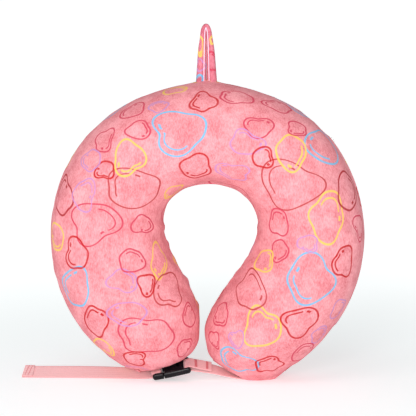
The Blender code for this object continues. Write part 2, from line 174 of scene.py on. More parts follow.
class Nodes:
    """Short calls for a material's node tree."""

    def __init__(self, tree):
        self.tree = tree

    def add(self, kind, **settings):
        node = self.tree.nodes.new(kind)
        for name, value in settings.items():
            setattr(node, name, value)
        return node

    def link(self, output, socket):
        self.tree.links.new(output, socket)

    def put(self, socket, value):
        if hasattr(value, "is_output"):
            self.link(value, socket)
        else:
            socket.default_value = value

    def math(self, operation, a, b=None, c=None):
        node = self.add("ShaderNodeMath", operation=operation)
        for socket, value in zip(node.inputs, (a, b, c)):
            if value is not None:
                self.put(socket, value)
        return node.outputs[0]

    def length(self, vector):
        node = self.add("ShaderNodeVectorMath", operation="LENGTH")
        self.link(vector, node.inputs[0])
        return node.outputs["Value"]

    def step(self, value, low, high):
        """0 at low and below, 1 at high and above, smooth between."""
        node = self.add("ShaderNodeMapRange", interpolation_type="SMOOTHSTEP")
        self.put(node.inputs["Value"], value)
        self.put(node.inputs["From Min"], low)
        self.put(node.inputs["From Max"], high)
        return node.outputs["Result"]

    def mix(self, share, a, b):
        node = self.add("ShaderNodeMix", data_type="RGBA")
        self.put(node.inputs["Factor"], share)
        self.put(node.inputs[6], a)
        self.put(node.inputs[7], b)
        return node.outputs[2]

    def noise(self, vector, scale, detail=2.0, roughness=0.5):
        node = self.add("ShaderNodeTexNoise")
        self.put(node.inputs["Vector"], vector)
        node.inputs["Scale"].default_value = scale
        node.inputs["Detail"].default_value = detail
        node.inputs["Roughness"].default_value = roughness
        return node.outputs["Fac"]

    def bump(self, height, strength, distance):
        node = self.add("ShaderNodeBump")
        self.put(node.inputs["Height"], height)
        node.inputs["Strength"].default_value = strength
        node.inputs["Distance"].default_value = distance
        return node.outputs["Normal"]

    def place(self):
        """The surface's place in the object's own space, in metres."""
        return self.add("ShaderNodeTexCoord").outputs["Object"]


def srgb(red, green, blue, alpha=1.0):
    """A linear colour from 0 to 255 display values."""
    def linear(value):
        value /= 255
        return value / 12.92 if value <= 0.04045 else ((value + 0.055) / 1.055) ** 2.4
    return (linear(red), linear(green), linear(blue), alpha)


def new_material(name, colour, roughness, **sockets):
    material = bpy.data.materials.new(name)
    material.use_nodes = True
    shader = material.node_tree.nodes["Principled BSDF"]
    shader.inputs["Base Color"].default_value = colour
    shader.inputs["Roughness"].default_value = roughness
    for socket, value in sockets.items():
        shader.inputs[socket.replace("_", " ")].default_value = value
    return material, Nodes(material.node_tree), shader


# --- Materials ---

PRINT_LAYERS = 4
INKS = {
    "blue": srgb(104, 188, 226),
    "yellow": srgb(240, 200, 96),
    "red": srgb(192, 26, 28),
    "rose": srgb(206, 62, 88),
    "brick": srgb(184, 62, 64),
    "wine": srgb(170, 28, 36),
    "lilac": srgb(196, 142, 192),
}
LINE_WIDTHS = {"blue": 2.0, "yellow": 1.9, "red": 1.9, "rose": 1.6, "brick": 1.5, "wine": 1.8, "lilac": 1.6}


def motif_group():
    """One wobbly pebble outline with a highlight arc and a dot, from its own coordinates.

    Place holds the two coordinates, in which the outline lies about one from the middle, and a seed.
    Width is half the line's width in the same units.
    """
    tree = bpy.data.node_groups.new("pebble_outline", "ShaderNodeTree")
    tree.interface.new_socket("Place", in_out="INPUT", socket_type="NodeSocketVector")
    tree.interface.new_socket("Width", in_out="INPUT", socket_type="NodeSocketFloat")
    tree.interface.new_socket("Line", in_out="OUTPUT", socket_type="NodeSocketFloat")
    n = Nodes(tree)
    given = n.add("NodeGroupInput")
    place, width = given.outputs["Place"], given.outputs["Width"]
    parts = n.add("ShaderNodeSeparateXYZ")
    n.link(place, parts.inputs[0])
    across, up, seed = parts.outputs
    radius = n.math("SQRT", n.math("ADD", n.math("MULTIPLY", across, across), n.math("MULTIPLY", up, up)))
    angle = n.math("ARCTAN2", up, across)
    outline = 0.9
    for lobes, size, spin in ((2, 0.07, 3.1), (3, 0.11, 5.3), (4, 0.06, 8.9), (6, 0.025, 2.3)):
        wave = n.math("COSINE", n.math("MULTIPLY_ADD", angle, lobes, n.math("MULTIPLY", seed, spin)))
        swing = n.math("SINE", n.math("MULTIPLY", seed, spin * 2.7))
        share = n.math("MULTIPLY_ADD", swing, 0.4 * size, 0.8 * size)
        outline = n.math("MULTIPLY_ADD", wave, share, outline)

    def stroke(distance, half_width):
        half_width = n.math("MAXIMUM", half_width, 0.001)
        edge = n.math("MULTIPLY", half_width, 1.35)
        inner = n.math("MULTIPLY", half_width, 0.65)
        return n.math("SUBTRACT", 1.0, n.step(distance, inner, edge))

    ring = stroke(n.math("ABSOLUTE", n.math("SUBTRACT", radius, outline)), width)
    turned = n.math("ADD", angle, n.math("MULTIPLY", seed, 2.1))
    inner_line = n.math("ABSOLUTE", n.math("SUBTRACT", radius, n.math("MULTIPLY", outline, 0.74)))
    arc = n.math("MULTIPLY", stroke(inner_line, n.math("MULTIPLY", width, 0.85)),
                 n.step(n.math("COSINE", turned), 0.55, 0.62))
    at_dot = n.step(n.math("COSINE", n.math("ADD", turned, 1.35)), 0.985, 0.992)
    dot = n.math("MULTIPLY", stroke(inner_line, n.math("MULTIPLY", width, 1.3)), at_dot)
    total = n.math("MAXIMUM", ring, n.math("MAXIMUM", arc, dot))
    taken = n.add("NodeGroupOutput")
    n.link(total, taken.inputs["Line"])
    return tree


def velour_material(name="velour", low=srgb(210, 104, 114), high=srgb(255, 181, 187)):
    """Brushed pink velour with the printed outlines, short pile and crushed patches."""
    material, n, shader = new_material(
        name, srgb(238, 142, 150), 0.9, Sheen_Weight=0.04, Sheen_Roughness=0.5,
        Sheen_Tint=srgb(255, 205, 212), Specular_IOR_Level=0.08,
    )
    place = n.place()
    broad = n.noise(place, 55.0, detail=6.0, roughness=0.66)
    pile = n.noise(place, 240.0, detail=3.0, roughness=0.6)
    stretched = n.add("ShaderNodeMapping")
    stretched.inputs["Scale"].default_value = (1.0, 1.0, 0.35)
    n.link(place, stretched.inputs["Vector"])
    brushed = n.noise(stretched.outputs[0], 900.0, detail=2.0, roughness=0.6)
    tone = n.math("ADD", n.math("MULTIPLY", n.step(broad, 0.34, 0.66), 0.36), n.math("MULTIPLY", pile, 0.5))
    tone = n.math("ADD", tone, n.math("MULTIPLY_ADD", n.step(brushed, 0.3, 0.7), 0.36, -0.12))
    colour = n.mix(tone, low, high)
    outline = motif_group()
    for layer in range(PRINT_LAYERS):
        where = n.add("ShaderNodeAttribute", attribute_name=f"print_place_{layer}")
        ink = n.add("ShaderNodeAttribute", attribute_name=f"print_ink_{layer}")
        group = n.add("ShaderNodeGroup", node_tree=outline)
        n.link(where.outputs["Vector"], group.inputs["Place"])
        n.link(ink.outputs["Alpha"], group.inputs["Width"])
        worn = n.math("MULTIPLY_ADD", pile, 0.5, 0.62)
        colour = n.mix(n.math("MULTIPLY", group.outputs["Line"], worn), colour, ink.outputs["Color"])
    n.link(colour, shader.inputs["Base Color"])
    height = n.math("ADD", n.math("MULTIPLY", brushed, 0.6), pile)
    n.link(n.bump(height, 0.35, 0.0006), shader.inputs["Normal"])
    return material


def webbing_material():
    """Flat ribbed webbing; its UV map holds metres along and across."""
    material, n, shader = new_material(
        "webbing", srgb(246, 184, 188), 0.72, Sheen_Weight=0.2, Specular_IOR_Level=0.2
    )
    uv = n.add("ShaderNodeUVMap", uv_map="weave").outputs["UV"]
    parts = n.add("ShaderNodeSeparateXYZ")
    n.link(uv, parts.inputs[0])
    along, across = parts.outputs[0], parts.outputs[1]
    ribs = n.math("SINE", n.math("MULTIPLY", along, 2 * math.pi / (1.1 * MM)))
    rows = n.math("SINE", n.math("MULTIPLY", across, 2 * math.pi / (2.5 * MM)))
    crossed = n.math("MULTIPLY", ribs, rows)
    weave = n.math("MULTIPLY_ADD", crossed, 0.3, n.math("MULTIPLY_ADD", rows, 0.12, 0.5))
    fuzz = n.noise(n.place(), 1500.0, detail=2.0)
    selvedge = n.step(n.math("ABSOLUTE", across), 6.2 * MM, 6.7 * MM)
    tone = n.math("ADD", n.math("MULTIPLY", weave, 0.55), n.math("MULTIPLY", fuzz, 0.45))
    colour = n.mix(tone, srgb(214, 146, 152), srgb(255, 216, 214))
    colour = n.mix(n.math("MULTIPLY", selvedge, 0.35), colour, srgb(228, 146, 152))
    n.link(colour, shader.inputs["Base Color"])
    n.link(n.bump(n.math("ADD", weave, n.math("MULTIPLY", fuzz, 0.5)), 0.7, 0.0003), shader.inputs["Normal"])
    return material


def buckle_material():
    material, n, shader = new_material(
        "moulded_black", srgb(14, 13, 18), 0.3, Specular_IOR_Level=0.22
    )
    marks = n.noise(n.place(), 700.0, detail=4.0, roughness=0.65)
    n.link(n.math("MULTIPLY_ADD", marks, 0.22, 0.2), shader.inputs["Roughness"])
    n.link(n.mix(marks, srgb(9, 9, 12), srgb(20, 19, 26)), shader.inputs["Base Color"])
    n.link(n.bump(marks, 0.12, 0.0002), shader.inputs["Normal"])
    return material


def metal_material():
    material, n, shader = new_material("nickel", srgb(205, 204, 202), 0.25, Metallic=1.0)
    scratches = n.noise(n.place(), 1800.0, detail=3.0)
    n.link(n.math("MULTIPLY_ADD", scratches, 0.25, 0.14), shader.inputs["Roughness"])
    n.link(n.mix(scratches, srgb(182, 180, 178), srgb(222, 221, 219)), shader.inputs["Base Color"])
    return material


def cloth_material(name, low, high, pitch, roughness=0.85):
    """A plain fabric or thread: two tones, a fine woven bump and fuzz."""
    material, n, shader = new_material(name, high, roughness, Specular_IOR_Level=0.2)
    place = n.place()
    parts = n.add("ShaderNodeSeparateXYZ")
    n.link(place, parts.inputs[0])
    cross = [n.math("SINE", n.math("MULTIPLY", axis, 2 * math.pi / pitch)) for axis in parts.outputs[:3]]
    weave = n.math("MULTIPLY", n.math("ADD", cross[0], cross[1]), cross[2])
    fuzz = n.noise(place, 0.6 / pitch, detail=3.0)
    tone = n.math("ADD", n.math("MULTIPLY", weave, 0.15), fuzz)
    n.link(n.mix(tone, low, high), shader.inputs["Base Color"])
    n.link(n.bump(tone, 0.5, 0.0002), shader.inputs["Normal"])
    return material


def foam_material():
    """Open-cell foam: pale yellow with small round cells, whose hollows are painted darker as shade."""
    material, n, shader = new_material("memory_foam", srgb(244, 236, 206), 0.95)
    cells = n.add("ShaderNodeTexVoronoi")
    cells.inputs["Scale"].default_value = 700.0
    n.link(n.place(), cells.inputs["Vector"])
    depth = cells.outputs["Distance"]
    # Painted shade: the colour darkens towards the bottom of each cell's hollow.
    n.link(n.mix(depth, srgb(226, 214, 176), srgb(250, 243, 220)), shader.inputs["Base Color"])
    n.link(n.bump(depth, 0.6, 0.0006), shader.inputs["Normal"])
    return material


# --- The pillow's cover ---

SPAN_STEPS = 10
CAP_ROWS = 5
AROUND = 128
SEAM_DENSITY = 0.6
CAP_RISE = 1.2 * MM
SLACK = 2.0 * MM
MOST_OFFSET = 2.0 * MM
SIMULATED_FRAMES = 20
SEAM_GROOVE, SEAM_HALF_WIDTH = 1.7 * MM, 2.6 * MM
GATHER_HEIGHT, GATHER_REACH = 0.42 * MM, 11 * MM
HOLLOW_HEIGHT, HOLLOW_REACH = 0.8 * MM, 18 * MM
CROWN_TENT = 3.0 * MM
CREASE_STRENGTH = 1.6
PANEL_THICKNESS = 1.0 * MM
PANEL_GAP = 0.35 * MM
ZIP_GAP, ZIP_LIFT, ZIP_COLUMNS = 3.3 * MM, 1.4 * MM, 12


def section_angles(count):
    """Angles round a section, closer near both seams; 0 is the outer seam, and the back comes first."""
    even = np.arange(count) * 2 * math.pi / count
    return even - SEAM_DENSITY * np.sin(2 * even) / 2


def section_row(section, angles, depth_share=1.0, rise=0.0, toward=(0, 0, 0)):
    """The points of one cross-section."""
    outer = np.array((section[0], 0.0, section[1])) * MM
    inner = np.array((section[2], 0.0, section[3])) * MM
    power = 2 / section[5]
    across = np.sign(np.cos(angles)) * np.abs(np.cos(angles)) ** power
    deep = np.sign(np.sin(angles)) * np.abs(np.sin(angles)) ** power
    shrink = 1 - 0.22 * (1 - depth_share**2) if depth_share < 1 else 1.0
    points = (outer + inner) / 2 + np.outer(across, (outer - inner) / 2) * shrink
    points[:, 1] = deep * section[4] * MM * depth_share
    return points + np.array(RING_CENTRE) + np.array(toward) * rise


def pillow_grid():
    """Rings of points from the seam across the left tip to the seam across the right tip."""
    angles = section_angles(AROUND)
    places = np.linspace(0, len(SECTIONS) - 1, (len(SECTIONS) - 1) * SPAN_STEPS + 1)
    rows = [section_row(section, angles) for section in catmull_rom(SECTIONS, places)]
    for end, step in ((0, 1), (-1, -1)):
        section, following = SECTIONS[end], SECTIONS[end + step]
        toward = (section[:4] - following[:4]).reshape(2, 2).mean(axis=0)
        toward = np.array((toward[0], 0.0, toward[1])) / np.linalg.norm(toward)
        for k in range(1, CAP_ROWS + 1):
            turn = 0.5 * math.pi * k / CAP_ROWS
            row = section_row(section, angles, math.cos(turn), CAP_RISE * math.sin(turn), toward)
            if k == CAP_ROWS:
                row[:, 1] = 0.0
            rows = [row, *rows] if end == 0 else [*rows, row]
    return np.array(rows)


def resting_height(x, y):
    """The height that the skin rests on: the ground, or the tilted buckle under the left tip."""
    slope_x, slope_y = math.tan(-BUCKLE_PITCH), math.tan(BUCKLE_ROLL)
    from_x, from_y = x - BUCKLE_CENTRE.x, y - BUCKLE_CENTRE.y
    plane = BUCKLE_CENTRE.z + from_x * slope_x + from_y * slope_y + 4.1 * MM
    past_side = np.maximum(0.0, -from_y - 8 * MM)
    past_end = np.maximum(0.0, np.abs(from_x) - 22 * MM)
    return np.maximum(0.0, plane - 1.5 * past_side - 1.5 * past_end)


def settled(points):
    """The points lifted smoothly onto what the pillow rests on."""
    height = resting_height(points[..., 0], points[..., 1])
    above = points[..., 2] - height
    lifted = points.copy()
    softness = 1.2 * MM
    lifted[..., 2] = height + 0.5 * (above + np.sqrt(above**2 + softness**2))
    return lifted


def folded_index(rows, around):
    """For each point of the whole closed grid, the vertex it becomes: the end rows are folded shut."""
    index = numbered(rows, around)
    for row in (0, rows - 1):
        for j in range(around // 2 + 1, around):
            index[row, j] = index[row, around - j]
    return index


def simulated_offsets(points, normals):
    """How pressure moves a slightly slack cover held at its seams, as an offset for each grid point."""
    rows, around = points.shape[:2]
    start = points - normals * SLACK
    index = folded_index(rows, around)
    used, compact = np.unique(index, return_inverse=True)
    compact = compact.reshape(index.shape)
    faces = [tuple(dict.fromkeys(face)) for face in grid_faces(compact)]
    flat = start.reshape(-1, 3)[used]
    obj = new_object("cover_simulation", flat, [f for f in faces if len(f) > 2])
    seam = {int(v) for column in (0, around // 2) for v in compact[:, column]}
    seam |= {int(v) for row in (0, rows - 1) for v in compact[row]}
    group = obj.vertex_groups.new(name="seam")
    group.add(sorted(seam), 1.0, "REPLACE")
    cloth = obj.modifiers.new("cloth", "CLOTH")
    settings = cloth.settings
    settings.quality = 4
    settings.mass = 0.2
    settings.tension_stiffness = settings.compression_stiffness = 14.0
    settings.shear_stiffness = 6.0
    settings.bending_stiffness = 0.35
    settings.use_pressure = True
    settings.uniform_pressure_force = 3.0
    settings.shrink_min = -0.035
    settings.vertex_group_mass = "seam"
    settings.effector_weights.gravity = 0.0
    cloth.point_cache.frame_end = SIMULATED_FRAMES
    for number in range(1, SIMULATED_FRAMES + 1):
        bpy.context.scene.frame_set(number)
    moved = evaluated_points(obj)
    bpy.context.scene.frame_set(1)
    bpy.data.objects.remove(obj, do_unlink=True)
    offsets = moved[compact] - points
    length = np.linalg.norm(offsets, axis=2, keepdims=True)
    return offsets * np.minimum(1.0, MOST_OFFSET / np.maximum(length, 1e-9))


def doubled(values):
    """A grid of values at twice the density, smoothed."""
    rows = np.repeat(values, 2, axis=0)[:-1]
    rows[1::2] = (values[:-1] + values[1:]) / 2
    fine = np.repeat(rows, 2, axis=1)
    fine[:, 1::2] = (rows + np.roll(rows, -1, axis=1)) / 2
    return fine


def seam_distance(points):
    """Each grid point's distance along its ring, or across the tip, to the nearest seam."""
    around = points.shape[1]
    steps = np.linalg.norm(np.roll(points, -1, axis=1) - points, axis=2)
    travelled = np.concatenate([np.zeros((len(points), 1)), np.cumsum(steps, axis=1)], axis=1)
    to_outer = np.minimum(travelled[:, :-1], travelled[:, -1:] - travelled[:, :-1])
    to_inner = np.abs(travelled[:, :-1] - travelled[:, around // 2][:, None])
    nearest = np.minimum(to_outer, to_inner)
    for end, step in ((0, 1), (-1, -1)):
        depth = np.zeros(around)
        for k in range(CAP_ROWS * 3):
            row = end + k * step
            nearest[row] = np.minimum(nearest[row], depth)
            depth = depth + np.linalg.norm(points[row + step] - points[row], axis=1)
    return nearest


# Soft folds seen on the front: two ends (x and z from the ring centre), depth and half width, in millimetres.
CREASES = (
    (18, -4, 52, -16, 1.1, 5.5), (24, -22, 58, -34, 1.5, 6.0), (10, -42, 44, -58, 1.3, 5.0),
    (2, -74, 34, -66, 1.0, 4.0), (-30, 18, -62, 4, 1.2, 5.5), (-34, -26, -60, -34, 1.4, 6.0),
    (-14, -60, -46, -52, 1.2, 5.0), (-8, 56, -30, 88, 0.9, 5.5), (20, 54, 40, 84, 0.9, 5.5),
    (-40, 40, -84, 62, 0.9, 6.5), (46, 34, 84, 50, 0.9, 6.0), (118, 14, 148, -8, 0.9, 5.0),
    (96, 62, 126, 40, 0.8, 6.0), (-118, 56, -146, 30, 0.8, 6.0), (-96, -84, -60, -96, 0.8, 6.0),
    (20, -128, 44, -142, 1.2, 3.5), (34, -118, 58, -138, 1.1, 3.5), (52, -112, 66, -136, 1.0, 4.0),
    (-52, -118, -58, -130, 0.9, 3.5), (-84, -108, -72, -122, 0.9, 4.0), (-10, 112, -4, 142, 0.9, 3.5),
    (6, 116, 4, 144, 1.0, 3.5), (18, 120, 10, 143, 0.8, 3.5),
)


def crease_depth(points):
    """How far each point sinks into the folds. The back has the same folds, mirrored about the middle."""
    total = np.zeros(points.shape[:-1])
    x = (points[..., 0] - RING_CENTRE.x) / MM * np.where(points[..., 1] < 0, 1, -1)
    z = (points[..., 2] - RING_CENTRE.z) / MM
    for from_x, from_z, to_x, to_z, depth, half_width in CREASES:
        along = np.array((to_x - from_x, to_z - from_z), float)
        share = ((x - from_x) * along[0] + (z - from_z) * along[1]) / (along @ along)
        bow = 2.5 * np.sin(share * math.pi)
        away = ((x - from_x) * -along[1] + (z - from_z) * along[0]) / np.hypot(*along) - bow
        taper = np.clip(4 * share * (1 - share), 0, 1) * (share > 0) * (share < 1)
        groove = np.exp(-((away / half_width) ** 2))
        groove -= 0.55 * np.exp(-(((away - 1.7 * half_width) / half_width) ** 2))
        total += CREASE_STRENGTH * depth * MM * taper * groove
    return total


def cover_points():
    """The fine grid of the cover: puffed between its seams, with gathers at them and soft hollows."""
    points = pillow_grid()
    coarse = points[::2, ::2]
    offsets = doubled(simulated_offsets(coarse, grid_normals(coarse)))
    for _ in range(5):
        offsets[1:-1] = (offsets[:-2] + 2 * offsets[1:-1] + offsets[2:]) / 4
        offsets = (np.roll(offsets, 1, axis=1) + 2 * offsets + np.roll(offsets, -1, axis=1)) / 4
    normals = grid_normals(points)
    from_seam = seam_distance(points)
    seam_half = np.exp(-((from_seam / SEAM_HALF_WIDTH) ** 2))
    gather_zone = np.exp(-((from_seam / GATHER_REACH) ** 2)) * (1 - seam_half)
    gathers = wave_noise(points * np.array((1, 0.25, 1)), 13 * MM, 5)
    hollows = wave_noise(points, 95 * MM, 11) * 0.7 + wave_noise(points, 38 * MM, 3) * 0.45
    away = 1 - np.exp(-((from_seam / HOLLOW_REACH) ** 2))
    height = -SEAM_GROOVE * seam_half + GATHER_HEIGHT * gathers * gather_zone + HOLLOW_HEIGHT * hollows * away
    height = height - crease_depth(points) * (1 - seam_half)
    points = points + offsets * (1 - seam_half)[..., None] + normals * height[..., None]
    from_loop = (points[..., 0] - PILLOW_X + 0.9 * MM) / (11 * MM)
    at_crown = (points[..., 2] > RING_CENTRE.z + 120 * MM) * np.exp(-((from_seam / (9 * MM)) ** 2))
    points[..., 2] += CROWN_TENT * np.exp(-(from_loop**2)) * at_crown
    half = AROUND // 2
    points[:, (0, half), 1] = 0.0
    points[(0, -1), :, 1] = 0.0
    return settled(points)


def open_seam(points, side):
    """Moves a panel's cut edge aside and outward along the zip, on the right arm only."""
    edge = points[:, 0]
    angle = np.arctan2(edge[:, 2] - RING_CENTRE.z, edge[:, 0] - RING_CENTRE.x)
    fade = math.radians(3.0)
    opening = np.clip((angle - ZIP_END) / fade + 1.1, 0, 1) * np.clip((ZIP_START - angle) / fade + 0.3, 0, 1)
    opening = opening * opening * (3 - 2 * opening)
    opening[: len(edge) // 4] = 0.0
    for column in range(ZIP_COLUMNS):
        share = (1 - column / ZIP_COLUMNS) ** 2
        points[:, column, 1] += side * opening * ZIP_GAP * share
        outward = points[:, column] - np.array(RING_CENTRE)
        outward[:, 1] = 0
        outward /= np.linalg.norm(outward, axis=1, keepdims=True)
        points[:, column] += outward * (opening * ZIP_LIFT * share)[:, None]
    return points


def cover_panel(name, points, side, material):
    """One panel of the cover, cut from the grid at the seams. side is -1 for the front and 1 for the back."""
    half = AROUND // 2
    columns = np.arange(0, half + 1) if side > 0 else (AROUND - np.arange(0, half + 1)) % AROUND
    panel = open_seam(points[:, columns].copy(), side)
    for edge in (np.s_[:, -1, 1], np.s_[:, 0, 1], np.s_[0, :, 1], np.s_[-1, :, 1]):
        panel[edge] += side * PANEL_GAP
    faces = [face[::side] for face in grid_faces(numbered(*panel.shape[:2]), closed=False)]
    obj = new_object(name, panel.reshape(-1, 3), faces, material)
    thickness = obj.modifiers.new("cloth", "SOLIDIFY")
    thickness.thickness = PANEL_THICKNESS
    thickness.offset = -1
    # Where the tips rest, the panel is thinner, so that its inside stays above the floor.
    group = obj.vertex_groups.new(name="thickness")
    for number, height in enumerate(panel[..., 2].ravel()):
        group.add([number], float(np.clip(height / (3 * MM), 0.05, 1)), "REPLACE")
    thickness.vertex_group = "thickness"
    return obj


# --- The print ---

# The outlines seen from the front: ink, middle x and z from the ring centre, width and height, in mm.
FRONT_MOTIFS = (
    ("blue", -27, 105, 58, 44), ("red", -4, 133, 28, 24), ("rose", -72, 124, 27, 23),
    ("lilac", -47, 128, 20, 16), ("yellow", -32, 143, 26, 18), ("rose", -66, 106, 27, 20),
    ("rose", -99, 96, 24, 26), ("yellow", -75, 80, 32, 37), ("red", -98, 68, 20, 20),
    ("lilac", -112, 77, 24, 24), ("brick", -70, 50, 60, 42), ("wine", -140, 42, 32, 42),
    ("lilac", -118, 44, 26, 33), ("rose", -108, 18, 52, 44), ("rose", -62, 15, 27, 20),
    ("red", -11, 70, 32, 33), ("yellow", -33, 45, 24, 20), ("rose", 28, 137, 37, 20),
    ("rose", 68, 128, 31, 20), ("rose", 49, 109, 30, 23), ("lilac", 37, 94, 33, 26),
    ("red", 53, 80, 22, 22), ("yellow", 80, 85, 34, 35), ("rose", 86, 107, 22, 18),
    ("blue", 112, 90, 42, 46), ("lilac", 24, 65, 35, 22), ("brick", 79, 54, 64, 51),
    ("rose", 68, 17, 26, 28), ("yellow", 115, 23, 39, 51), ("wine", 136, 47, 34, 44),
    ("rose", 26, 47, 52, 30), ("lilac", 96, -2, 21, 18), ("rose", 147, 11, 26, 26),
    ("red", -126, -13, 28, 33), ("blue", -128, -46, 38, 44), ("red", -108, -79, 28, 37),
    ("rose", -72, -19, 27, 26), ("lilac", -81, -38, 32, 23), ("red", -58, -42, 20, 22),
    ("yellow", -47, -21, 22, 37), ("brick", -37, -48, 34, 40), ("lilac", -77, -70, 39, 27),
    ("rose", -59, -92, 59, 41), ("rose", -17, -75, 22, 25), ("red", -70, -116, 24, 22),
    ("rose", -22, -107, 21, 22), ("yellow", -101, -106, 26, 26), ("lilac", -68, -129, 22, 16),
    ("yellow", -146, 2, 26, 29), ("blue", 99, -37, 52, 51), ("red", 131, -21, 28, 32),
    ("red", 89, -78, 38, 33), ("yellow", 52, -84, 37, 45), ("brick", 41, -48, 34, 47),
    ("yellow", 55, -21, 26, 25), ("rose", 69, -10, 22, 22), ("rose", 13, -74, 22, 26),
    ("lilac", 28, -96, 16, 20), ("blue", 28, -120, 41, 33), ("red", 60, -123, 30, 24),
    ("rose", 93, -112, 28, 30), ("lilac", 108, -93, 22, 20), ("lilac", 127, -68, 24, 22),
    ("rose", 6, -99, 18, 20),
)
BACK_MOTIFS = 95


def surface_tree(panels):
    points, faces, base = [], [], 0
    for obj in panels:
        points += [tuple(v.co) for v in obj.data.vertices]
        faces += [tuple(i + base for i in p.vertices) for p in obj.data.polygons]
        base = len(points)
    return BVHTree.FromPolygons(points, faces)


def place_motif(ink, centre, normal, width, height, seed):
    """A motif as its middle, its two scaled axes in the surface, its reach, its ink and its seed."""
    flat = Vector((1, 0, 0)) - normal * normal.x
    if flat.length < 0.35:
        flat = Vector((0, -1, 0)) - normal * -normal.y
    flat.normalize()
    upward = normal.cross(flat)
    if upward.z < 0:
        upward = -upward
    return {
        "ink": ink, "centre": centre, "normal": normal,
        "across": flat / (width / 2), "up": upward / (height / 2),
        "reach": 0.5 * max(width, height) * 1.3, "line": 0.5 * LINE_WIDTHS[ink] * MM, "seed": seed,
        "size": 0.5 * math.sqrt(width * height),
    }


def seen_motif(tree, number, ink, x, z, width, height):
    """A listed motif on the surface that the front view meets there, or as near as the surface comes."""
    for pull in np.linspace(1.0, 0.6, 41):
        start = Vector((PILLOW_X + x * pull * MM, -0.3, RING_CENTRE.z + z * pull * MM))
        hit, normal, *_ = tree.ray_cast(start, Vector((0, 1, 0)))
        if hit is not None:
            break
    return place_motif(ink, hit, normal, width * MM, height * MM, 1.0 + 0.37 * number)


def all_motifs(tree, panels):
    """The front's listed motifs, and seeded ones of the same kinds over the back and the sides."""
    motifs = [seen_motif(tree, number, *motif) for number, motif in enumerate(FRONT_MOTIFS)]
    dice = random.Random(7)
    inks = ["rose"] * 5 + ["red"] * 4 + ["lilac"] * 4 + ["yellow"] * 3 + ["blue"] * 2 + ["brick"] * 3
    back = panels[1].data
    made = 0
    for _ in range(6000):
        if made == BACK_MOTIFS:
            break
        polygon = back.polygons[dice.randrange(len(back.polygons))]
        ink = dice.choice(inks)
        size = dice.choice((20, 22, 24, 27, 30, 34, 40, 52)) * MM
        shape = dice.uniform(0.8, 1.25)
        centre, normal = polygon.center.copy(), polygon.normal.copy()
        if centre.y < 4 * MM:
            continue
        near = any((centre - m["centre"]).length < 0.47 * size + 0.9 * m["size"] for m in motifs)
        if near:
            continue
        motifs.append(place_motif(ink, centre, normal, size, size * shape, 40.0 + 0.41 * made))
        made += 1
    return motifs


def assign_layers(motifs):
    """Gives each motif the first print layer in which it meets no other."""
    layers = [[] for _ in range(PRINT_LAYERS)]
    for motif in sorted(motifs, key=lambda m: -m["size"]):
        for layer in layers:
            if all((motif["centre"] - o["centre"]).length > motif["reach"] + o["reach"] for o in layer):
                layer.append(motif)
                break
        else:
            layers[-1].append(motif)
    return layers


def print_panel(obj, layers):
    """Writes each face corner's place in its motif, one pair of attributes for each layer."""
    mesh = obj.data
    corner_vertex = np.empty(len(mesh.loops), int)
    mesh.loops.foreach_get("vertex_index", corner_vertex)
    points = read(mesh.vertices, "co")
    centres = points[corner_vertex.reshape(-1, 4)].mean(axis=1)
    face_normals = read(mesh.polygons, "normal")
    for number, layer in enumerate(layers):
        place = np.full((len(corner_vertex), 3), 9.0)
        ink = np.zeros((len(corner_vertex), 4))
        for motif in layer:
            middle = np.array(motif["centre"])
            near = np.linalg.norm(centres - middle, axis=1) < motif["reach"]
            near &= face_normals @ np.array(motif["normal"]) > -0.2
            corners = np.repeat(near, 4)
            offset = points[corner_vertex[corners]] - middle
            u, v = offset @ np.array(motif["across"]), offset @ np.array(motif["up"])
            flat = offset - np.outer(offset @ np.array(motif["normal"]), np.array(motif["normal"]))
            stretch = np.linalg.norm(offset, axis=1) / np.maximum(np.linalg.norm(flat, axis=1), 1e-6)
            stretch = np.minimum(stretch, 1.6)
            place[corners] = np.stack([u * stretch, v * stretch, np.full(len(u), motif["seed"])], axis=1)
            ink[corners] = (*INKS[motif["ink"]][:3], motif["line"] / motif["size"])
        where = mesh.attributes.new(f"print_place_{number}", "FLOAT_VECTOR", "CORNER")
        where.data.foreach_set("vector", place.astype(np.float32).ravel())
        colour = mesh.attributes.new(f"print_ink_{number}", "FLOAT_COLOR", "CORNER")
        colour.data.foreach_set("color", ink.astype(np.float32).ravel())


def make_cover(material):
    points = cover_points()
    front = cover_panel("cover_front", points, -1, material)
    back = cover_panel("cover_back", points, 1, material)
    layers = assign_layers(all_motifs(surface_tree((front, back)), (front, back)))
    for obj, node in ((front, "front_cover"), (back, "back_cover")):
        print_panel(obj, layers)
        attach(obj, "pillow")
        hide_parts(node)


# --- Webbing ---


def buckle_matrix():
    turn = Matrix.Rotation(BUCKLE_PITCH, 4, "Y") @ Matrix.Rotation(BUCKLE_ROLL, 4, "X")
    return Matrix.Translation(BUCKLE_CENTRE) @ turn


def in_buckle(x, z):
    """A webbing station from a place in the buckle's own lengthways section, in millimetres."""
    place = buckle_matrix() @ Vector((x * MM, 0, z * MM)) - Vector((PILLOW_X, 0, 0))
    return (*(place / MM), math.degrees(BUCKLE_ROLL), math.degrees(BUCKLE_PITCH))


def station_rows(stations):
    rows = np.zeros((len(stations), 5))
    for row, station in zip(rows, stations):
        row[: len(station)] = station
    return rows


def distances(middles):
    """How far along a route each of its points lies."""
    return np.concatenate([[0], np.cumsum(np.linalg.norm(np.diff(middles, axis=0), axis=1))])


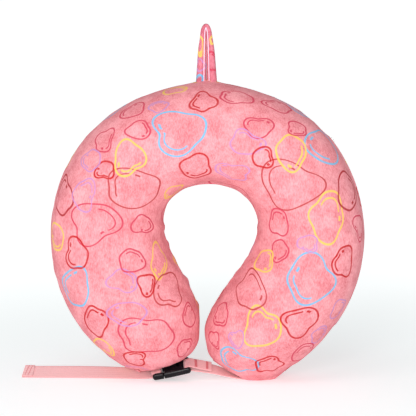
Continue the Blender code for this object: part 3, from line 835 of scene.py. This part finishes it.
def route_frames(stations, per_span):
    """Middles, across directions and facing directions along a route of (x, y, z, lean, pitch)."""
    rows = station_rows(stations)
    places = np.linspace(0, len(rows) - 1, (len(rows) - 1) * per_span + 1)
    route = catmull_rom(rows, places)
    middles = route[:, :3] * MM + np.array((PILLOW_X, 0, 0))
    across = []
    for lean, pitch in route[:, 3:]:
        direction = Vector((0, math.cos(math.radians(lean)), math.sin(math.radians(lean))))
        direction.rotate(Matrix.Rotation(math.radians(pitch), 3, "Y"))
        across.append(direction)
    across = np.array(across)
    facing = np.cross(np.gradient(middles, axis=0), across)
    facing /= np.linalg.norm(facing, axis=1, keepdims=True)
    return middles, across, facing


def sweep(name, middles, across, facing, profile, material):
    """A closed solid with this profile along a route; its UV map holds metres along and across."""
    profile = np.array(profile)
    rings = middles[:, None] + profile[None, :, :1] * across[:, None]
    rings = rings + profile[None, :, 1:] * facing[:, None]
    count = rings.shape[1]
    index = numbered(*rings.shape[:2])
    faces = [*grid_faces(index), index[0], index[-1][::-1]]
    obj = new_object(name, rings.reshape(-1, 3), faces, material)
    travelled = distances(middles)
    layer = obj.data.uv_layers.new(name="weave")
    for loop in obj.data.loops:
        row, column = divmod(loop.vertex_index, count)
        layer.data[loop.index].uv = (travelled[row], profile[column][0])
    obj.data.set_sharp_from_angle(angle=math.radians(50))
    return obj


def strap_profile(width, thickness):
    """A flat strap's section with rounded edges, from its near edge round its face and back."""
    half, thin = width / 2, thickness / 2
    ends = [(half - thin + thin * math.cos(a), thin * math.sin(a)) for a in np.linspace(-1.4, 1.4, 5)]
    face = [(x, thin) for x in np.linspace(half - thin, -half + thin, 9)[1:-1]]
    back = [(-x, -y) for x, y in ends]
    under = [(-x, -thin) for x, _ in face]
    return [*ends, *face, *back, *under]


def strap(name, stations, material, width=15 * MM, thickness=1.15 * MM):
    return sweep(name, *route_frames(stations, 8), strap_profile(width, thickness), material)


LEFT_TURN = [in_buckle(-11.7 + 2.1 * math.sin(a), 2.1 * math.cos(a)) for a in np.linspace(0.3, 2.84, 5)]
LEFT_ROUTE = [
    in_buckle(-19.5, 2.15), in_buckle(-15.0, 2.15), in_buckle(-12.8, 2.15), *LEFT_TURN,
    in_buckle(-12.8, -2.15), in_buckle(-15.0, -2.15), in_buckle(-19.0, -2.2),
    (-64.0, 1.0, 5.2, 30.0), (-76.0, 5.0, 5.3, 36.0), (-92.0, 9.0, 5.2, 39.0),
    (-120.0, 12.0, 5.2, 41.0), (-150.0, 13.0, 5.2, 41.0), (-182.0, 14.0, 5.2, 41.0, 18.0),
]
RIGHT_TURN = [in_buckle(15.3 - 2.1 * math.sin(a), -2.1 * math.cos(a)) for a in np.linspace(0.3, 2.84, 5)]
FOLDED_LEG = [(-6.0, -4.4, 15.2, 27.0), (4.0, -5.0, 13.4, 27.0)]
RIGHT_ROUTE = [
    (45.0, 0.0, 1.2, 2.0), (38.0, 0.0, 1.9, 6.0), (28.0, -0.5, 4.0, 12.0), (17.0, -2.0, 7.3, 20.0),
    (6.0, -3.5, 10.6, 27.0), (-6.0, -3.0, 12.3, 27.0), in_buckle(19.5, -2.3), in_buckle(17.2, -2.15),
    *RIGHT_TURN, in_buckle(17.2, 2.15), in_buckle(19.5, 2.3), *FOLDED_LEG,
]
HEM_ROUTE = [
    (-182.0, 12.9, 6.5, 41.0, 18.0), (-177.0, 12.9, 6.5, 41.0, 16.0), (-172.0, 12.8, 6.5, 41.0, 13.5),
]


def strap_length(stations):
    middles = route_frames(stations, 8)[0]
    return float(np.linalg.norm(np.diff(middles, axis=0), axis=1).sum())


def thread_run(name, points, radius, material):
    """A thread as a thin closed tube through points."""
    points = np.array(points)
    tangent = np.gradient(points, axis=0)
    tangent /= np.linalg.norm(tangent, axis=1, keepdims=True)
    helper = np.array((0.31, 0.22, 0.92))
    side = np.cross(tangent, helper)
    side /= np.linalg.norm(side, axis=1, keepdims=True)
    other = np.cross(side, tangent)
    profile = [(radius * math.cos(a), radius * math.sin(a)) for a in np.arange(6) * math.pi / 3]
    return sweep(name, points, side, other, profile, material)


def zigzag_on(stations, low, high, turns, lift, half_width):
    """Points of a dense zigzag between two places along a route, lifted off its face."""
    middles, across, facing = route_frames(stations, 12)
    travelled = distances(middles)
    points = []
    for k in range(turns * 2 + 1):
        at = low + (high - low) * k / (turns * 2)
        side = half_width if k % 2 else -half_width
        place, cross, face = (
            np.array([np.interp(at, travelled, values[:, axis]) for axis in range(3)])
            for values in (middles, across, facing)
        )
        for share in (-0.9, 0.9) if k else (0.9,):
            points.append(place + cross * (side * share) + face * lift)
    return points


def make_hem_stitches(thread):
    """The two slanted rows of stitches that hold the folded end of the tail, on both faces of the hem."""
    middles, across, facing = (values.mean(axis=0) for values in route_frames(HEM_ROUTE, 4))
    along = np.cross(across, facing)
    for row, offset in enumerate((-1.6, 1.6)):
        for side, name in ((-1, "front"), (1, "back")):
            points = []
            for k in range(37):
                slant = k / 36 - 0.5
                rise = (0.42 + 0.16 * abs(math.sin(k * math.pi / 4))) * side
                points.append(
                    middles + across * slant * 12.6 * MM + along * (offset + 1.6 * slant) * MM
                    + facing * rise * MM
                )
            piece = thread_run(f"hem_stitches_{name}_{row}", points, 0.26 * MM, thread)
            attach(piece, "pillow")


def make_straps(webbing):
    left = strap("left_strap", LEFT_ROUTE, webbing)
    strap_length(LEFT_ROUTE)
    hem = strap("tail_hem", HEM_ROUTE, webbing, width=14.6 * MM, thickness=0.85 * MM)
    right = strap("right_strap", RIGHT_ROUTE, webbing)
    strap_length(RIGHT_ROUTE)
    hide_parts("left_strap")
    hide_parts("tail_hem")
    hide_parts("right_strap")
    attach(left, "pillow")
    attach(hem, "pillow")
    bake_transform(right)


def make_bar_tacks(thread):
    """Two rows of dense zigzag stitches across the folded end of the right strap."""
    leg = [in_buckle(19.5, 2.3), *FOLDED_LEG]
    for node, low, high in (("bar_tack_inner", 4.8, 7.2), ("bar_tack_outer", 16.2, 18.2)):
        points = zigzag_on(leg, low * MM, high * MM, 9, 0.8 * MM, 6.6 * MM)
        piece = thread_run(node + "_stitches", points, 0.22 * MM, thread)
        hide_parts(node)
        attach(piece, "socket")


# --- Buckle ---


def local_solid(name, rings, material, body):
    """A closed solid through rings of points given in the buckle's own axes, in millimetres."""
    matrix = np.array(buckle_matrix())
    rings = np.array(rings, float) * MM
    points = rings.reshape(-1, 3) @ matrix[:3, :3].T + matrix[:3, 3]
    index = numbered(*rings.shape[:2])
    faces = [(a, d, c, b) for a, b, c, d in grid_faces(index)]
    obj = new_object(name, points, [*faces, index[0][::-1], index[-1]], material)
    obj.data.set_sharp_from_angle(angle=math.radians(60))
    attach(obj, body)
    return obj


def rail(name, start, end, rounding, side, material, body):
    """One rounded rail along the buckle's edge, bowed down in its middle. rounding is for each end."""
    turns = np.linspace(0.35, math.pi / 2, 6)
    places = [start + rounding[0] * (1 - math.cos(a)) for a in turns]
    places += list(np.linspace(start + rounding[0] + 0.8, end - rounding[1] - 0.8, 9))
    places += [end - rounding[1] * (1 - math.cos(a)) for a in turns[::-1]]
    rings = []
    for x in places:
        swell = min(
            math.sqrt(max(0.0, 1 - max(0.0, 1 - from_end / radius) ** 2))
            for from_end, radius in ((x - start, rounding[0]), (end - x, rounding[1]))
        )
        bow = 0.7 - 1.3 * math.cos(math.pi * (x + 6) / 60)
        turn = np.arange(20) * 2 * math.pi / 20
        deep = side * (8.7 + 2.1 * swell * np.cos(turn))
        high = bow - 0.4 + 3.45 * swell * np.sin(turn)
        rings.append(np.stack([np.full(20, x), deep, high], axis=1))
    return local_solid(name, rings if side < 0 else [r[::-1] for r in rings], material, body)


def make_buckle_shell(black):
    """The rounded rails down both long edges, and the lip that fills the webbing slot beside the strap."""
    for side, name in ((-1, "near"), (1, "far")):
        rail(f"socket_rail_{name}", -7.6, 19.4, (0.7, 2.4), side, black, "socket")
        rail(f"plug_rail_{name}", -18.9, -7.7, (2.4, 0.7), side, black, "pillow")
    ring = [(-7.4, -2.1), (7.4, -2.1), (7.4, 2.1), (-7.4, 2.1)]
    local_solid("slot_lip", [[(x, y, z) for y, z in ring] for x in (10.9, 12.7)], black, "socket")


# --- Hang loop ---


LOOP_BASE = 287.9 * MM
# Middle of the band from the pillow's centreline, height above the base, and half width, in millimetres.
LOOP_ROUTE = (
    (-6.3, 0.0, 5.3), (-5.8, 15.0, 4.75), (-5.2, 35.0, 4.0), (-4.4, 46.0, 3.2), (-3.7, 55.0, 2.7),
    (-1.4, 58.8, 2.5),
    (0.9, 55.0, 2.7), (2.0, 46.0, 3.2), (2.9, 35.0, 4.0), (3.8, 15.0, 4.75), (4.4, 0.0, 5.3),
)
LOOP_MOTIFS = (
    ("yellow", -8.0, 186.0, 9, 20), ("lilac", -7.5, 166.0, 13, 12), ("blue", -9.0, 152.0, 10, 11),
    ("yellow", 5.0, 191.0, 6, 9), ("rose", 5.5, 170.0, 11, 20),
)


def loop_frames():
    """Middles, outward and backward directions and half widths along the band."""
    rows = catmull_rom(LOOP_ROUTE, np.linspace(0, len(LOOP_ROUTE) - 1, 121))
    middles = np.stack([PILLOW_X + rows[:, 0] * MM, np.zeros(len(rows)), LOOP_BASE + rows[:, 1] * MM], axis=1)
    tangent = np.gradient(middles, axis=0)
    tangent /= np.linalg.norm(tangent, axis=1, keepdims=True)
    back = np.tile(np.array((0.0, 1.0, 0.0)), (len(rows), 1))
    return middles, np.cross(tangent, back), back, rows[:, 2] * MM


def make_hang_loop(material, piping_and_highlight):
    """The folded band at the crown: two legs side by side, with a raised pale line down each face, partly the
    band's pale edge and partly a painted highlight.
    """
    middles, out, back, half = loop_frames()
    count = 32
    angles = (np.arange(count) + 0.5) * 2 * math.pi / count
    across = np.cos(angles)
    groove = 1 - 0.34 * np.exp(-(((across + 0.36) / 0.17) ** 2))
    deep = 1.2 * np.sign(np.sin(angles)) * np.abs(np.sin(angles)) ** 0.75 * groove
    wrinkle = 1 + 0.035 * wave_noise(middles, 9 * MM, 21)
    points = (
        middles[:, None]
        + (half[:, None] * across)[..., None] * out[:, None]
        + (half[:, None] * wrinkle[:, None] * deep)[..., None] * back[:, None]
    )
    index = numbered(len(points), count)
    faces = [(a, d, c, b) for a, b, c, d in grid_faces(index)]
    for end, row in ((1, index[0]), (-1, index[-1])):
        faces += [
            (row[j], row[j + 1], row[count - 2 - j], row[count - 1 - j])[::-end]
            for j in range(count // 2 - 1)
        ]
    obj = new_object("hang_loop_band", points.reshape(-1, 3), faces, material)
    tree = surface_tree((obj,))
    print_panel(obj, assign_layers([seen_motif(tree, n, *m) for n, m in enumerate(LOOP_MOTIFS)]))
    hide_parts("hang_loop")
    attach(obj, "pillow")
    # The pale piping is partly the band's pale edge and partly a painted highlight along each leg's rolled
    # edge.
    for side, name in ((-1, "front"), (1, "back")):
        line = middles - out * (half * 0.5)[:, None] + back * (side * half * 0.98)[:, None]
        edge = thread_run(f"hang_loop_piping_{name}", line, 0.5 * MM, piping_and_highlight)
        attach(edge, "pillow")


# --- Zip ---


def make_zip(tape, coil):
    """Teeth along both coils, and the tapes that carry them."""
    pitch = 1.35 * MM / OUTER_RADIUS
    count = int((ZIP_START - ZIP_END) / pitch)
    for side, name in ((-1, "front"), (1, "back")):
        loop = []
        for k in range(count * 8 + 1):
            turn = 2 * math.pi * k / 8
            angle = ZIP_START - pitch * (k / 8 + (0.5 if side > 0 else 0.0))
            angle = max(angle, ZIP_END)
            radius = OUTER_RADIUS - 0.85 * MM + 0.5 * MM * math.sin(turn)
            depth = side * (1.25 * MM + 0.95 * MM * math.cos(turn))
            across, up = radius * math.cos(angle), radius * math.sin(angle)
            loop.append((RING_CENTRE.x + across, depth, RING_CENTRE.z + up))
        teeth = thread_run(f"zip_coil_{name}_turns", loop, 0.3 * MM, coil)
        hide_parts(f"zip_coil_{name}")
        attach(teeth, "pillow")
        paint_nodes(tape, f"zip_tape_{name}")


def paint_nodes(material, *names):
    for name in names:
        mesh = NODES[name].data
        mesh.materials.clear()
        mesh.materials.append(material)


def round_edges(width, *names):
    """Softens the moulded or cast edges of CAD nodes that are kept."""
    for name in names:
        bevel = NODES[name].modifiers.new("rounded", "BEVEL")
        bevel.width = width
        bevel.segments = 3
        bevel.limit_method = "ANGLE"
        bevel.angle_limit = math.radians(40)
        bevel.use_clamp_overlap = True


# --- Stage ---


FLOOR_REACH = 90.0
WORLD_LIGHT = 0.42


def make_stage():
    """A plain pale floor out to the horizon. It glows, more with distance, to meet the background."""
    points = [(x * FLOOR_REACH, y * FLOOR_REACH, 0.0) for x, y in ((-1, -1), (1, -1), (1, 1), (-1, 1))]
    material, n, shader = new_material(
        "studio_white", (0.78, 0.85, 0.855, 1), 0.9, Specular_IOR_Level=0.1, Emission_Color=(1, 1, 1, 1)
    )
    distance = n.length(n.place())
    glow = n.math("MULTIPLY_ADD", n.step(distance, 0.15, 1.2), 0.27, 0.42)
    n.link(glow, shader.inputs["Emission Strength"])
    new_object("floor", points, [(0, 1, 2, 3)], material)


def aimed(name, data, place, target):
    """A light or camera at a place, looking at its target."""
    obj = bpy.data.objects.new(name, data)
    obj.location = place
    obj.rotation_euler = (Vector(target) - Vector(place)).to_track_quat("-Z", "Y").to_euler()
    bpy.context.scene.collection.objects.link(obj)
    return obj


def area_light(name, place, target, size, power):
    light = bpy.data.lights.new(name, "AREA")
    light.shape = "DISK"
    light.size = size
    light.energy = power
    aimed(name, light, place, target)


def make_lights():
    """Soft lights from the front and above. The world is white to the camera and dimmer as a light."""
    target = (PILLOW_X, 0, 0.15)
    area_light("key", (-0.4, -2.4, 0.55), target, 0.8, 31.0)
    area_light("fill", (0.8, -2.4, 0.4), target, 1.0, 6.0)
    area_light("top", (-0.4, -1.2, 1.7), target, 1.2, 5.5)
    world = bpy.data.worlds.new("studio")
    world.use_nodes = True
    background = world.node_tree.nodes["Background"]
    background.inputs["Color"].default_value = (1, 1, 1, 1)
    n = Nodes(world.node_tree)
    seen = n.add("ShaderNodeLightPath").outputs["Is Camera Ray"]
    n.link(n.math("MULTIPLY_ADD", seen, 0.58, WORLD_LIGHT), background.inputs["Strength"])
    bpy.context.scene.world = world
    bpy.context.scene.view_settings.view_transform = "Standard"


def make_camera():
    """A long lens straight on, a little above the table."""
    elevation, distance, frame_width = math.radians(5.6), 2.2, 406.5 * MM
    target = Vector((PILLOW_X + 0.5 * MM, 0, 169.5 * MM))
    data = bpy.data.cameras.new("camera")
    data.sensor_width = 36.0
    data.lens = 36.0 * distance / frame_width
    data.clip_end = 300.0
    place = target + Vector((0, -math.cos(elevation), math.sin(elevation))) * distance
    bpy.context.scene.camera = aimed("camera", data, place, target)


def main():
    make_camera()
    make_stage()
    make_lights()
    velour = velour_material()
    webbing = webbing_material()
    black = buckle_material()
    nickel = metal_material()
    thread = cloth_material("thread", srgb(196, 100, 108), srgb(232, 148, 152), 0.6 * MM)
    tape = cloth_material("zip_tape", srgb(226, 128, 140), srgb(246, 158, 168), 0.8 * MM)
    coil = cloth_material("zip_coil", srgb(222, 112, 128), srgb(240, 140, 152), 2.5 * MM, roughness=0.4)
    knit = cloth_material("knit", srgb(226, 222, 214), srgb(248, 246, 240), 1.2 * MM)
    make_cover(velour)
    # The loop's velour is a darker copy of the cover's velour: painted shade on the band.
    shaded_loop_velour = velour_material("velour_loop_painted_shade", srgb(176, 74, 92), srgb(240, 146, 162))
    # The piping's near-white colour is partly a painted highlight on the loop's legs.
    make_hang_loop(shaded_loop_velour, cloth_material("piping_and_highlight", srgb(232, 190, 214), srgb(252, 228, 240), 0.6 * MM))
    make_straps(webbing)
    make_hem_stitches(thread)
    make_bar_tacks(thread)
    make_buckle_shell(black)
    make_zip(tape, coil)
    paint_nodes(black, *BUCKLE_NODES)
    round_edges(0.5 * MM, *BUCKLE_NODES)
    paint_nodes(nickel, "zip_slider", "zip_pull", "zip_top_stop", "zip_bottom_stop")
    paint_nodes(knit, "inner_liner")
    paint_nodes(foam_material(), "foam_core")


main()
